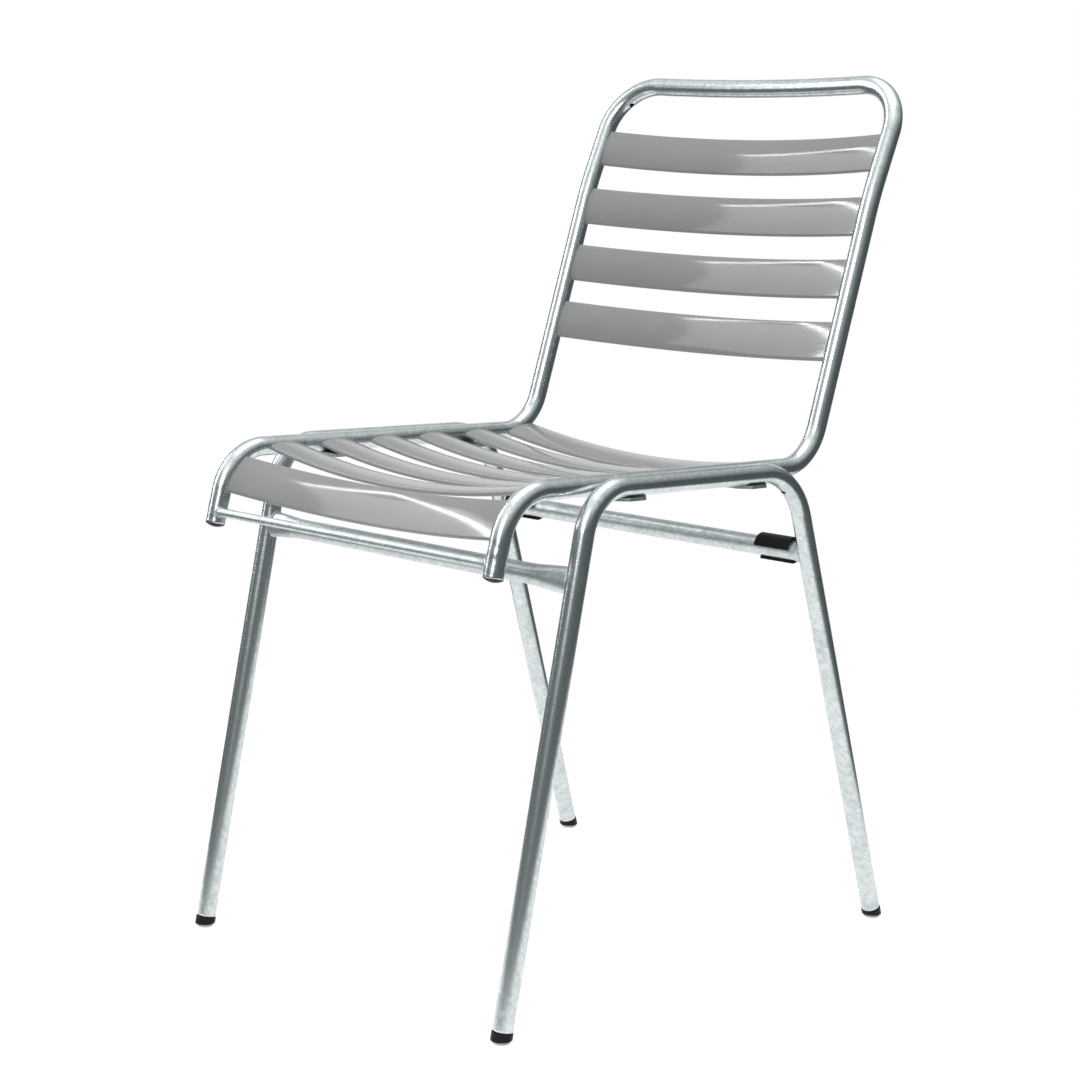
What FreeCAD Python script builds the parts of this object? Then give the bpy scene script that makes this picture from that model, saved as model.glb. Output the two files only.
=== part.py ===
import FreeCAD, Part
import math
import os
import Sketcher
from FreeCAD import Placement, Rotation, Vector

# Stacking garden chair. One bent tube carries the seat and back slats, a bent leg frame stands beside it
# on each side, and two cross tubes and a thin rod tie the sides together.
# Millimetres. -Y is the front, +Z is up and the floor is at Z = 0.

os.makedirs("parts", exist_ok=True)
doc = FreeCAD.newDocument("garden_chair")

SIZES = [
    ("frame_diameter", 18.0, "outside of the seat and back tube"),
    ("leg_diameter", 18.0, "outside of the leg tubes"),
    ("cross_diameter", 18.0, "outside of the cross tubes"),
    ("tube_wall", 1.5, "wall of every tube"),
    ("rod_diameter", 8.0, "solid tie rod at the front"),
    ("weld_gap", 0.2, "space between pieces that are welded side by side"),
    ("frame_half_width", 180.8, "middle of the chair to the axis of the seat tube"),
    ("rail_front_height", 454.8, "seat tube axis at its front corner"),
    ("rail_front_reach", 253.8, "origin forward to the front corner of the seat tube"),
    ("rail_length", 389.6, "front corner to rear corner of the seat tube, level"),
    ("rail_fall", 5.5, "drop of the seat tube over that length"),
    ("drop_angle", 13.5, "lean of the front drops from upright, degrees"),
    ("drop_end_height", 386.6, "lower end of the front drops"),
    ("front_bend_radius", 49.0, "bend at the front of the seat"),
    ("rear_bend_radius", 50.0, "bend between seat and back"),
    ("lower_back_angle", 17.6, "lean of the lower back from upright, degrees"),
    ("upper_back_angle", 23.6, "lean of the upper back from upright, degrees"),
    ("lower_length", 260.0, "rear corner to the bend in the back"),
    ("upper_length", 115.5, "bend in the back to the top corner"),
    ("back_bend_radius", 350.0, "gentle bend in the back"),
    ("top_corner_radius", 52.0, "bend at the top corners"),
    ("top_bow", 10.6, "how far the middle of the top rail stands back"),
    ("top_bow_half", 110.0, "half of the bowed stretch of the top rail"),
    ("leg_setback", 77.0, "front corner of the seat tube back to that of the leg frame"),
    ("leg_top_length", 268.0, "front corner to rear corner of the leg frame"),
    ("front_leg_angle", 11.2, "lean of the front legs from upright, degrees"),
    ("rear_leg_angle", 18.2, "lean of the rear legs from upright, degrees"),
    ("rear_leg_splay", 6.0, "how far the rear feet stand out to the side"),
    ("leg_front_bend", 45.0, "bend at the front of the leg frame"),
    ("leg_rear_bend", 64.0, "bend at the rear of the leg frame"),
    ("collar_height", 6.0, "foot collar along the leg, under the tube end"),
    ("front_cross_height", 378.0, "axis of the front cross tube"),
    ("rear_cross_height", 372.0, "axis of the rear cross tube"),
    ("cross_end_tall", 23.0, "height of the squeezed cross tube ends"),
    ("cross_end_thin", 12.0, "depth of the squeezed cross tube ends"),
    ("front_squeeze", 45.0, "length over which the front cross tube changes shape"),
    ("rear_squeeze", 5.0, "length over which the rear cross tube changes shape"),
    ("rod_rise", 11.4, "axis of the tie rod above the lower end of the drops"),
    ("rod_forward", 3.0, "tie rod axis in front of the drop tube axis"),
    ("slat_width", 38.0, "width of every slat"),
    ("slat_thickness", 7.0, "thickness of every slat at the middle of its section"),
    ("slat_edge_radius", 2.5, "rounding of the slat edges"),
    ("slat_entry", 2.0, "slat end past the tube axis"),
    ("slot_clearance", 0.3, "space round a slat in its slot"),
    ("slat_sag", 19.0, "hollow of the slats at the middle"),
    ("slat_rise", 1.9, "slat ends on the sitter's side of the tube axis"),
    ("first_slat_angle", 54.0, "slope of the slat on the front bend, degrees"),
    ("first_slat_inset", 1.8, "slat on the front bend inside the tube axis"),
    ("last_slat_angle", 9.0, "slope of the slat on the rear bend, degrees"),
    ("last_slat_place_angle", 18.0, "slope of the rear bend where that slat sits, degrees"),
    ("last_slat_inset", 1.0, "slat on the rear bend inside the tube axis"),
    ("second_slat_setback", 59.4, "front corner of the seat tube to the middle of the second slat"),
    ("sixth_slat_inset", 81.4, "rear corner of the seat tube forward to the middle of the sixth slat"),
    ("top_slat_inset", 71.3, "top corner down to the middle of the top slat"),
    ("next_slat_inset", 20.1, "bend in the back down to the middle of the slat below it"),
    ("low_slat_height", 118.4, "rear corner of the seat tube up to the middle of the lowest back slat"),
    ("tab_length", 40.0, "joining tab along the rail"),
    ("tab_outer_edge", 205.0, "middle of the chair to the outer edge of the joining tab"),
    ("tab_width", 46.0, "joining tab across the tubes"),
    ("tab_thickness", 3.0, "joining tab plate"),
    ("tab_corner", 10.0, "cut corners of the joining tab"),
    ("tab_hole_diameter", 6.0, "hole in the joining tab"),
    ("front_tab_inset", 52.0, "front corner of the leg frame to the middle of the front tab"),
    ("rear_tab_inset", 55.0, "rear corner of the leg frame to the middle of the rear tab"),
    ("vent_diameter", 5.0, "zinc vent holes"),
    ("plug_dome", 3.0, "rounded head of the end plugs"),
    ("plug_spigot", 14.0, "length of plugs and collars inside the tube"),
    ("plug_clearance", 0.1, "space round a plug inside the tube"),
    ("collar_diameter", 18.6, "foot collar"),
    ("glide_diameter", 15.6, "glide disc under the foot"),
    ("glide_height", 3.0, "thickness of the glide disc"),
    ("glide_bevel", 1.0, "bevelled lower edge of the glide disc"),
    ("guard_length", 38.0, "stacking guard along the rear cross tube"),
    ("guard_wall", 3.2, "wall of the stacking guard"),
    ("guard_clearance", 0.2, "space between guard and tube"),
    ("guard_inset", 1.0, "guard end to the start of the squeezed tube end"),
    ("guard_upper_angle", 84.0, "upper lip of the guard, degrees forward of the top"),
    ("guard_lower_angle", 172.0, "lower lip of the guard, degrees forward of the top"),
]

sheet = doc.addObject("Spreadsheet::Sheet", "sizes")
for row, (alias, value, meaning) in enumerate(SIZES, start=1):
    sheet.set("A%d" % row, alias)
    sheet.set("B%d" % row, str(value))
    sheet.setAlias("B%d" % row, alias)
    sheet.set("C%d" % row, meaning)
doc.recompute()

UP = Vector(0, 0, 1)
ACROSS = Vector(1, 0, 0)
SIDES = {"left": 1, "right": -1}
SUBPARTS = []
SAME_SPOT = 1e-6


def size(alias):
    """Number in the sheet cell with this alias."""
    return float(getattr(sheet, alias))


def worked_out(expression):
    """Number that an expression on the sheet's aliases gives, worked out in a spare cell."""
    sheet.set("E1", "=" + expression.replace("sizes.", ""))
    sheet.recompute()
    value = float(sheet.get("E1"))
    sheet.clear("E1")
    return value


def subpart(feature, label):
    """Keep a feature as the finished sub-part with this name."""
    feature.Label = label
    SUBPARTS.append(feature)
    return feature


# Points of the chair's side, worked out from the sheet


def leaning(degrees):
    """Direction that rises and leans back by an angle from upright."""
    return Vector(0, math.sin(math.radians(degrees)), math.cos(math.radians(degrees)))


rail_direction = Vector(0, size("rail_length"), -size("rail_fall")).normalize()
rail_up = Vector(0, -rail_direction.z, rail_direction.y)
rail_slope = math.degrees(math.atan2(rail_direction.z, rail_direction.y))
rail_front = Vector(0, -size("rail_front_reach"), size("rail_front_height"))
rail_rear = rail_front + Vector(0, size("rail_length"), -size("rail_fall"))
drop_end = rail_front - leaning(size("drop_angle")) * (
    (size("rail_front_height") - size("drop_end_height")) / math.cos(math.radians(size("drop_angle"))))
back_bend = rail_rear + leaning(size("lower_back_angle")) * size("lower_length")
back_top = back_bend + leaning(size("upper_back_angle")) * size("upper_length")
frame_radius = size("frame_diameter") / 2
leg_radius = size("leg_diameter") / 2
leg_half_width = size("frame_half_width") + frame_radius + leg_radius + size("weld_gap")


def rail_point(setback):
    """Point on the seat tube's axis, this far behind its front corner."""
    return rail_front + rail_direction * setback


leg_front_top = rail_point(size("leg_setback"))
leg_rear_top = rail_point(size("leg_setback") + size("leg_top_length"))


def leg_axis(end, height):
    """Point on the axis of the left front or left rear leg at a height."""
    if end == "front":
        reach = (leg_front_top.z - height) * math.tan(math.radians(size("front_leg_angle")))
        return Vector(leg_half_width, leg_front_top.y - reach, height)
    drop = leg_rear_top.z - height
    reach = drop * math.tan(math.radians(size("rear_leg_angle")))
    splay = size("rear_leg_splay") * drop / leg_rear_top.z
    return Vector(leg_half_width + splay, leg_rear_top.y + reach, height)


def at_side(point, side, half_width):
    """The same point of the side view, moved out to one side of the chair."""
    return Vector(side * half_width, point.y, point.z)


def flipped(point, side):
    """Left-hand point kept, or mirrored to the right."""
    return Vector(side * point.x, point.y, point.z)


# Builders


def bent_wire(points, radii):
    """Straight runs from point to point, joined at each inner point by a tangent arc of its radius."""
    edges = []
    start = points[0]
    for before, corner, after, radius in zip(points, points[1:], points[2:], radii):
        back = (before - corner).normalize()
        ahead = (after - corner).normalize()
        half_turn = (math.pi - back.getAngle(ahead)) / 2
        run = radius * math.tan(half_turn)
        arc_start = corner + back * run
        arc_end = corner + ahead * run
        inward = (back + ahead).normalize()
        arc_middle = corner + inward * (radius / math.cos(half_turn) - radius)
        edges.append(Part.LineSegment(start, arc_start).toShape())
        edges.append(Part.Arc(arc_start, arc_middle, arc_end).toShape())
        start = arc_end
    edges.append(Part.LineSegment(start, points[-1]).toShape())
    return Part.Wire(edges)


def bent_bar(name, points, radii, radius_expression):
    """Round bar along a bent wire, its radius bound to the sheet."""
    path = doc.addObject("Part::Feature", name + "_path")
    path.Shape = bent_wire(points, radii)
    circle = doc.addObject("Part::Circle", name + "_circle")
    circle.setExpression("Radius", radius_expression)
    circle.Placement = Placement(points[0], Rotation(UP, points[1] - points[0]))
    bar = doc.addObject("Part::Sweep", name)
    bar.Sections = [circle]
    bar.Spine = (path, ["Edge%d" % (index + 1) for index in range(len(path.Shape.Edges))])
    bar.Solid = True
    return bar


def cut(name, base, tool):
    """Base with the tool taken away."""
    feature = doc.addObject("Part::Cut", name)
    feature.Base = base
    feature.Tool = tool
    return feature


def joined(name, features):
    """Several tools as one."""
    feature = doc.addObject("Part::MultiFuse", name)
    feature.Shapes = features
    return feature


def rod(name, start, end, radius_expression):
    """Straight round bar between two points."""
    bar = doc.addObject("Part::Cylinder", name)
    bar.setExpression("Radius", radius_expression)
    bar.Height = (end - start).Length
    bar.Placement = Placement(start, Rotation(UP, end - start))
    return bar


def new_sketch(body, name, role):
    """Sketch on one of the body's own origin planes."""
    sketch = body.newObject("Sketcher::SketchObject", name)
    plane = [feature for feature in body.Origin.OriginFeatures if feature.Role == role][0]
    sketch.AttachmentSupport = (plane, [""])
    sketch.MapMode = "FlatFace"
    return sketch


def hold(sketch, kind, geometry, end, axis, expression):
    """Hold one coordinate of a point at an expression, or on the axis where that is nothing."""
    value = worked_out(expression)
    if abs(value) < SAME_SPOT:
        sketch.addConstraint(Sketcher.Constraint("PointOnObject", geometry, end, axis))
        return
    if value > 0:
        index = sketch.addConstraint(Sketcher.Constraint(kind, -1, 1, geometry, end, value))
        sketch.setExpression("Constraints[%d]" % index, expression)
    else:
        index = sketch.addConstraint(Sketcher.Constraint(kind, geometry, end, -1, 1, -value))
        sketch.setExpression("Constraints[%d]" % index, "-(" + expression + ")")


def outline(sketch, corners, bulges=None):
    """Closed outline through corners given as expressions; a bulge is a side's middle and its radius."""
    bulges = bulges or {}
    spots = [Vector(worked_out(across), worked_out(up), 0) for across, up in corners]
    count = len(spots)
    ends = []
    for side, start in enumerate(spots):
        finish = spots[(side + 1) % count]
        if side in bulges:
            middle = Vector(worked_out(bulges[side][0]), worked_out(bulges[side][1]), 0)
            sketch.addGeometry(Part.Arc(start, middle, finish), False)
            forward = sketch.Geometry[side].StartPoint.distanceToPoint(start) < SAME_SPOT
            ends.append((1, 2) if forward else (2, 1))
        else:
            sketch.addGeometry(Part.LineSegment(start, finish), False)
            ends.append((1, 2))
    for side in range(count):
        follower = (side + 1) % count
        sketch.addConstraint(Sketcher.Constraint("Coincident", side, ends[side][1],
                                                 follower, ends[follower][0]))
    for side, (across, up) in enumerate(corners):
        hold(sketch, "DistanceX", side, ends[side][0], -2, across)
        hold(sketch, "DistanceY", side, ends[side][0], -1, up)
    for side, (_, _, radius) in bulges.items():
        index = sketch.addConstraint(Sketcher.Constraint("Radius", side, worked_out(radius)))
        sketch.setExpression("Constraints[%d]" % index, radius)


def turned(name, corners, place, bulges=None):
    """Body turned about its own Z from a half outline of radius and height."""
    body = doc.addObject("PartDesign::Body", name)
    sketch = new_sketch(body, name + "_half", "XZ_Plane")
    outline(sketch, corners, bulges)
    turn = body.newObject("PartDesign::Revolution", name + "_turn")
    turn.Profile = sketch
    turn.ReferenceAxis = (sketch, ["V_Axis"])
    turn.Angle = 360
    body.Placement = place
    return body


# Seat and back tube, with a slot for each slat end

BORE = "sizes.frame_diameter / 2 - sizes.tube_wall"


def frame_points():
    """Corners of the seat and back tube from the left front drop over the top to the right one."""
    half = size("frame_half_width")
    left = [at_side(point, 1, half) for point in (drop_end, rail_front, rail_rear, back_bend, back_top)]
    right = [at_side(point, -1, half) for point in (back_top, back_bend, rail_rear, rail_front, drop_end)]
    behind = leaning(size("upper_back_angle") + 90)
    corner_bow = size("top_bow") / (1 - size("top_bow_half") / (2 * half))
    middle = at_side(back_top, 0, 0) + behind * corner_bow
    bow_angle = math.atan2(corner_bow, half)
    return left + [middle] + right, size("top_bow_half") / math.tan(bow_angle)


def frame_radii(bow_radius):
    """Bend radii in the order of the frame's inner corners."""
    side = [size("front_bend_radius"), size("rear_bend_radius"), size("back_bend_radius"),
            size("top_corner_radius")]
    return side + [bow_radius] + side[::-1]


corners_of_frame, bow_radius = frame_points()
frame_solid = bent_bar("frame_solid", corners_of_frame, frame_radii(bow_radius), "sizes.frame_diameter / 2")
frame_bore = bent_bar("frame_bore", corners_of_frame, frame_radii(bow_radius), BORE)
frame_tube = cut("frame_tube", frame_solid, frame_bore)


# Slats: a crowned strip on an arc, hollow towards the sitter, its ends in the slots


ARC_RADIUS = "((sizes.frame_half_width^2 + sizes.slat_sag^2) / (2 * sizes.slat_sag))"


def strip(name, margin, place):
    """Slat's section, grown by the margin expression, turned about the centre of its arc.

    The section is flat below and crowned above, with round edges that run smoothly into the crown.
    """
    body = doc.addObject("PartDesign::Body", name)
    sketch = new_sketch(body, name + "_section", "YZ_Plane")
    sketch.setExpression("AttachmentOffset.Base.y", ARC_RADIUS + " - sizes.slat_sag")
    thick = "(sizes.slat_thickness + 2 * %s)" % margin
    edge = "(sizes.slat_edge_radius + %s)" % margin
    flat = "(sizes.slat_width / 2 - sizes.slat_edge_radius)"
    crown = "((%s^2 + %s^2 - 2 * %s * %s) / (2 * (%s - 2 * %s)))" % (flat, thick, thick, edge, thick, edge)
    low = "-(%s + %s / 2)" % (ARC_RADIUS, thick)
    waist = "%s + %s" % (low, edge)
    crest = "-(%s - %s / 2)" % (ARC_RADIUS, thick)
    meet = "%s * %s / (%s - %s)" % (flat, crown, crown, edge)
    meet_up = "%s + %s * (%s - %s + %s) / (%s - %s)" % (waist, edge, crown, thick, edge, crown, edge)
    tip = "%s + %s" % (flat, edge)
    outline(sketch, [("-" + flat, low), (flat, low), (meet, meet_up), ("-" + meet, meet_up)],
            {1: (tip, waist, edge), 2: ("0", crest, crown), 3: ("-(" + tip + ")", waist, edge)})
    turn = body.newObject("PartDesign::Revolution", name + "_arc")
    turn.Profile = sketch
    turn.ReferenceAxis = (sketch, ["H_Axis"])
    turn.Midplane = True
    turn.setExpression("Angle", "2 * asin((sizes.frame_half_width + sizes.slat_entry + %s) / %s)"
                       % (margin, ARC_RADIUS))
    body.Placement = place
    return body


def bend_spot(corner, towards, radius, lean, slope, inset):
    """Point inside a seat bend where the tube has the slope; towards is -1 at the front and 1 at the rear."""
    turn = math.radians(slope - rail_slope)
    run = radius * math.tan(math.radians(90 - lean - rail_slope) / 2)
    centre = corner - rail_direction * (towards * run) + rail_up * (towards * radius)
    arm = rail_direction * math.sin(turn) - rail_up * math.cos(turn)
    return centre + arm * (towards * (radius - inset))


def slat_places():
    """Name and placement of every slat, from the front of the seat to the top of the back."""
    first = bend_spot(rail_front, -1, size("front_bend_radius"), size("drop_angle"),
                      size("first_slat_angle"), size("first_slat_inset"))
    last = bend_spot(rail_rear, 1, size("rear_bend_radius"), size("lower_back_angle"),
                     size("last_slat_place_angle"), size("last_slat_inset"))
    places = [("seat_slat_1", first, size("first_slat_angle"))]
    sixth = (rail_rear - rail_front).Length - size("sixth_slat_inset")
    seat_pitch = (sixth - size("second_slat_setback")) / 4
    for index in range(5):
        spot = rail_point(size("second_slat_setback") + index * seat_pitch)
        places.append(("seat_slat_%d" % (index + 2), spot + rail_up * size("slat_rise"), rail_slope))
    places.append(("seat_slat_7", last, size("last_slat_angle")))
    highest = size("lower_length") + size("upper_length") - size("top_slat_inset")
    below_bend = size("lower_length") - size("next_slat_inset")
    between = (below_bend + size("low_slat_height")) / 2
    for index, along in enumerate((highest, below_bend, between, size("low_slat_height"))):
        lean = size("lower_back_angle")
        spot = rail_rear + leaning(lean) * along
        if along > size("lower_length"):
            lean = size("upper_back_angle")
            spot = back_bend + leaning(lean) * (along - size("lower_length"))
        spot = spot - leaning(lean + 90) * size("slat_rise")
        places.append(("back_slat_%d" % (index + 1), spot, 90 - lean))
    return [(name, Placement(spot, Rotation(ACROSS, slope))) for name, spot, slope in places]


slot_tools = []
for name, place in slat_places():
    subpart(strip(name, "0", place), name)
    slot_tools.append(strip(name + "_slot", "sizes.slot_clearance", place))


# Zinc vents: through the inner side of the top corners, and of the rear bends of the leg frames


def vent(name, corner, before, after, radius):
    """Cylinder from the tube's axis towards the centre of a bend, at the bend's middle."""
    back = (before - corner).normalize()
    ahead = (after - corner).normalize()
    half_turn = (math.pi - back.getAngle(ahead)) / 2
    inward = (back + ahead).normalize()
    start = corner + inward * (radius / math.cos(half_turn) - radius)
    return rod(name, start, start + inward * (frame_radius + leg_radius), "sizes.vent_diameter / 2")


top_corner_index = 4
for word, side in SIDES.items():
    index = top_corner_index if side > 0 else len(corners_of_frame) - 1 - top_corner_index
    slot_tools.append(vent(word + "_top_vent", corners_of_frame[index], corners_of_frame[index - 1],
                           corners_of_frame[index + 1], size("top_corner_radius")))
subpart(cut("seat_back_frame", frame_tube, joined("slots_and_vents", slot_tools)), "seat_back_frame")


# Leg frames, with collar and glide at each foot


def foot_end(end):
    """End of the left leg's tube, above its collar."""
    return leg_axis(end, size("glide_height") + size("collar_height"))


leg_solids = {}
for word, side in SIDES.items():
    corners = [foot_end("front"), at_side(leg_front_top, 1, leg_half_width),
               at_side(leg_rear_top, 1, leg_half_width), foot_end("rear")]
    corners = [flipped(point, side) for point in corners]
    radii = [size("leg_front_bend"), size("leg_rear_bend")]
    leg_solids[word] = bent_bar(word + "_leg_solid", corners, radii, "sizes.leg_diameter / 2")
    bore = bent_bar(word + "_leg_bore", corners, radii, "sizes.leg_diameter / 2 - sizes.tube_wall")
    hole = vent(word + "_leg_vent", corners[2], corners[1], corners[3], size("leg_rear_bend"))
    subpart(cut(word + "_leg_frame", leg_solids[word], joined(word + "_leg_inside", [bore, hole])),
            word + "_leg_frame")

LEG_SPIGOT = "sizes.leg_diameter / 2 - sizes.tube_wall - sizes.plug_clearance"


def collar(name, end, side):
    """Plastic foot: a spigot in the leg and a collar below it, cut level above the glide."""
    tube_end = flipped(foot_end(end), side)
    above = flipped(leg_axis(end, leg_front_top.z / 2), side)
    below = "-2 * sizes.collar_height - sizes.glide_height"
    body = turned(name + "_turned", [("0", "sizes.plug_spigot"), (LEG_SPIGOT, "sizes.plug_spigot"),
                                     (LEG_SPIGOT, "0"), ("sizes.collar_diameter / 2", "0"),
                                     ("sizes.collar_diameter / 2", below), ("0", below)],
                  Placement(tube_end, Rotation(UP, above - tube_end)))
    under = doc.addObject("Part::Box", name + "_under")
    under.setExpression("Length", "3 * sizes.collar_diameter")
    under.setExpression("Width", "3 * sizes.collar_diameter")
    under.setExpression("Height", "3 * sizes.collar_diameter")
    reach = 1.5 * size("collar_diameter")
    under.Placement = Placement(Vector(tube_end.x - reach, tube_end.y - reach,
                                       size("glide_height") - 2 * reach), Rotation())
    return subpart(cut(name, body, under), name)


def glide(name, end, side):
    """Hard disc that stands on the floor under the collar."""
    centre = flipped(leg_axis(end, size("glide_height")), side)
    radius = "sizes.glide_diameter / 2"
    corners = [("0", "0"), (radius + " - sizes.glide_bevel", "0"), (radius, "sizes.glide_bevel"),
               (radius, "sizes.glide_height"), ("0", "sizes.glide_height")]
    return subpart(turned(name, corners, Placement(Vector(centre.x, centre.y, 0), Rotation())), name)


for word, side in SIDES.items():
    for end in ("front", "rear"):
        collar("%s_%s_foot_collar" % (word, end), end, side)
        glide("%s_%s_foot_glide" % (word, end), end, side)


# Plugs in the front ends of the seat tube

FRAME_SPIGOT = BORE + " - sizes.plug_clearance"
for word, side in SIDES.items():
    rim = "sizes.frame_diameter / 2"
    dome = "((%s)^2 + sizes.plug_dome^2) / (2 * sizes.plug_dome)" % rim
    halfway = "(%s) * sin(asin((%s) / (%s)) / 2)" % (dome, rim, dome)
    halfway_up = "sizes.plug_dome - (%s) * (1 - cos(asin((%s) / (%s)) / 2))" % (dome, rim, dome)
    name = word + "_end_plug"
    corners = [("0", "-sizes.plug_spigot"), (FRAME_SPIGOT, "-sizes.plug_spigot"), (FRAME_SPIGOT, "0"),
               (rim, "0"), ("0", "sizes.plug_dome")]
    end_point = at_side(drop_end, side, size("frame_half_width"))
    place = Placement(end_point, Rotation(UP, -leaning(size("drop_angle"))))
    subpart(turned(name, corners, place, {3: (halfway, halfway_up, dome)}), name)


# Cross tubes, squeezed flat where they meet the legs, and the thin rod between the drops


def cross_section(name, x, centre, lean, tall, thin):
    """Ellipse square to the chair's width, its long axis along the leg."""
    ellipse = doc.addObject("Part::Ellipse", name)
    ellipse.setExpression("MajorRadius", tall)
    ellipse.setExpression("MinorRadius", thin)
    long_axis = leaning(lean)
    short_axis = ACROSS.cross(long_axis)
    turn = Rotation(long_axis, short_axis, ACROSS, "XYZ")
    ellipse.Placement = Placement(Vector(x, centre.y, centre.z), turn)
    return ellipse


def cross_bar(name, centre, lean, squeeze, inside):
    """Bar from leg to leg: round in the middle, squeezed at both ends."""
    reach = centre.x
    round_half = "sizes.cross_diameter / 2" + inside
    tall = "sizes.cross_end_tall / 2" + inside
    thin = "sizes.cross_end_thin / 2" + inside
    spots = [(-reach, tall, thin), (squeeze + leg_radius - reach, round_half, round_half),
             (reach - squeeze - leg_radius, round_half, round_half), (reach, tall, thin)]
    bar = doc.addObject("Part::Loft", name)
    bar.Sections = [cross_section("%s_section_%d" % (name, index), x, centre, lean, major, minor)
                    for index, (x, major, minor) in enumerate(spots)]
    bar.Solid = True
    bar.Ruled = True
    return bar


both_legs = joined("both_legs", list(leg_solids.values()))
for end, lean in (("front", size("front_leg_angle")), ("rear", -size("rear_leg_angle"))):
    centre = leg_axis(end, size(end + "_cross_height"))
    outer = cross_bar(end + "_cross_bar", centre, lean, size(end + "_squeeze"), "")
    inner = cross_bar(end + "_cross_bore", centre, lean, size(end + "_squeeze"), " - sizes.tube_wall")
    tube = cut(end + "_cross_hollow", outer, inner)
    subpart(cut(end + "_cross_tube", tube, both_legs), end + "_cross_tube")

rod_height = size("drop_end_height") + size("rod_rise")
drop_run = (rail_front.z - rod_height) * math.tan(math.radians(size("drop_angle")))
rod_reach = rail_front.y - drop_run - size("rod_forward")
rod_axis = Vector(size("frame_half_width"), rod_reach, rod_height)
tie_bar = rod("tie_bar", flipped(rod_axis, -1), rod_axis, "sizes.rod_diameter / 2")
subpart(cut("front_tie_rod", tie_bar, frame_solid), "front_tie_rod")


# Joining tabs under the seat tube and the leg frame


def tab(name, setback, side):
    """Plate with two cut corners and a hole, flat under both tubes."""
    body = doc.addObject("PartDesign::Body", name)
    sketch = new_sketch(body, name + "_outline", "XY_Plane")
    out = "sizes.tab_width / 2"
    along = "sizes.tab_length / 2"
    outline(sketch, [("-" + out, "-" + along), (out + " - sizes.tab_corner", "-" + along),
                     (out, "-" + along + " + sizes.tab_corner"), (out, along + " - sizes.tab_corner"),
                     (out + " - sizes.tab_corner", along), ("-" + out, along)])
    circle = sketch.addGeometry(Part.Circle(Vector(), UP, size("tab_hole_diameter") / 2), False)
    sketch.addConstraint(Sketcher.Constraint("Coincident", circle, 3, -1, 1))
    index = sketch.addConstraint(Sketcher.Constraint("Diameter", circle, size("tab_hole_diameter")))
    sketch.setExpression("Constraints[%d]" % index, "sizes.tab_hole_diameter")
    plate = body.newObject("PartDesign::Pad", name + "_plate")
    plate.Profile = sketch
    plate.setExpression("Length", "sizes.tab_thickness")
    plate.Reversed = True
    seat = rail_point(setback) - rail_up * (max(frame_radius, leg_radius) + size("weld_gap"))
    seat.x = side * (size("tab_outer_edge") - size("tab_width") / 2)
    turn = Rotation(ACROSS, rail_slope)
    if side < 0:
        turn = turn * Rotation(UP, 180)
    body.Placement = Placement(seat, turn)
    return subpart(body, name)


rear_corner = size("leg_setback") + size("leg_top_length")
tab_setbacks = {"front": size("leg_setback") + size("front_tab_inset"),
                "rear": rear_corner - size("rear_tab_inset")}
for word, side in SIDES.items():
    for end, setback in tab_setbacks.items():
        tab("%s_%s_joining_tab" % (word, end), setback, side)


# Stacking guards clipped on the rear cross tube


CLIP_INSIDE = "sizes.cross_diameter / 2 + sizes.guard_clearance"


def clip_ring(sketch):
    """Open ring round the tube, from the upper lip over the back to the lower lip."""
    lips = [math.radians(90 + size("guard_upper_angle")), math.radians(90 + size("guard_lower_angle"))]
    radii = [CLIP_INSIDE, CLIP_INSIDE + " + sizes.guard_wall"]
    for arc, radius in enumerate(radii):
        circle = Part.Circle(Vector(), UP, worked_out(radius))
        sketch.addGeometry(Part.ArcOfCircle(circle, lips[1], lips[0] + 2 * math.pi), False)
        sketch.addConstraint(Sketcher.Constraint("Coincident", arc, 3, -1, 1))
        index = sketch.addConstraint(Sketcher.Constraint("Radius", arc, worked_out(radius)))
        sketch.setExpression("Constraints[%d]" % index, radius)
    ends = [[Vector(worked_out(radius) * math.cos(lip), worked_out(radius) * math.sin(lip), 0)
             for radius in radii] for lip in lips]
    for line, (lip, arc_end) in enumerate((("upper", 2), ("lower", 1)), start=2):
        sketch.addGeometry(Part.LineSegment(*ends[line - 2]), False)
        sketch.addConstraint(Sketcher.Constraint("Coincident", line, 1, 0, arc_end))
        sketch.addConstraint(Sketcher.Constraint("Coincident", line, 2, 1, arc_end))
    for arc, radius in enumerate(radii):
        hold(sketch, "DistanceY", arc, 2, -1, "(%s) * cos(sizes.guard_upper_angle)" % radius)
        hold(sketch, "DistanceX", arc, 1, -2, "-(%s) * sin(sizes.guard_lower_angle)" % radius)


def guard(name, side):
    """Clip of constant section along the rear cross tube."""
    body = doc.addObject("PartDesign::Body", name)
    sketch = new_sketch(body, name + "_ring", "YZ_Plane")
    clip_ring(sketch)
    sleeve = body.newObject("PartDesign::Pad", name + "_sleeve")
    sleeve.Profile = sketch
    sleeve.setExpression("Length", "sizes.guard_length")
    centre = leg_axis("rear", size("rear_cross_height"))
    start = leg_half_width - leg_radius - size("rear_squeeze") - size("guard_inset") - size("guard_length")
    x = start if side > 0 else -start - size("guard_length")
    body.Placement = Placement(Vector(x, centre.y, centre.z), Rotation())
    return subpart(body, name)


for word, side in SIDES.items():
    guard(word + "_stacking_guard", side)

doc.recompute()

# Checks, then one file for each sub-part

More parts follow.
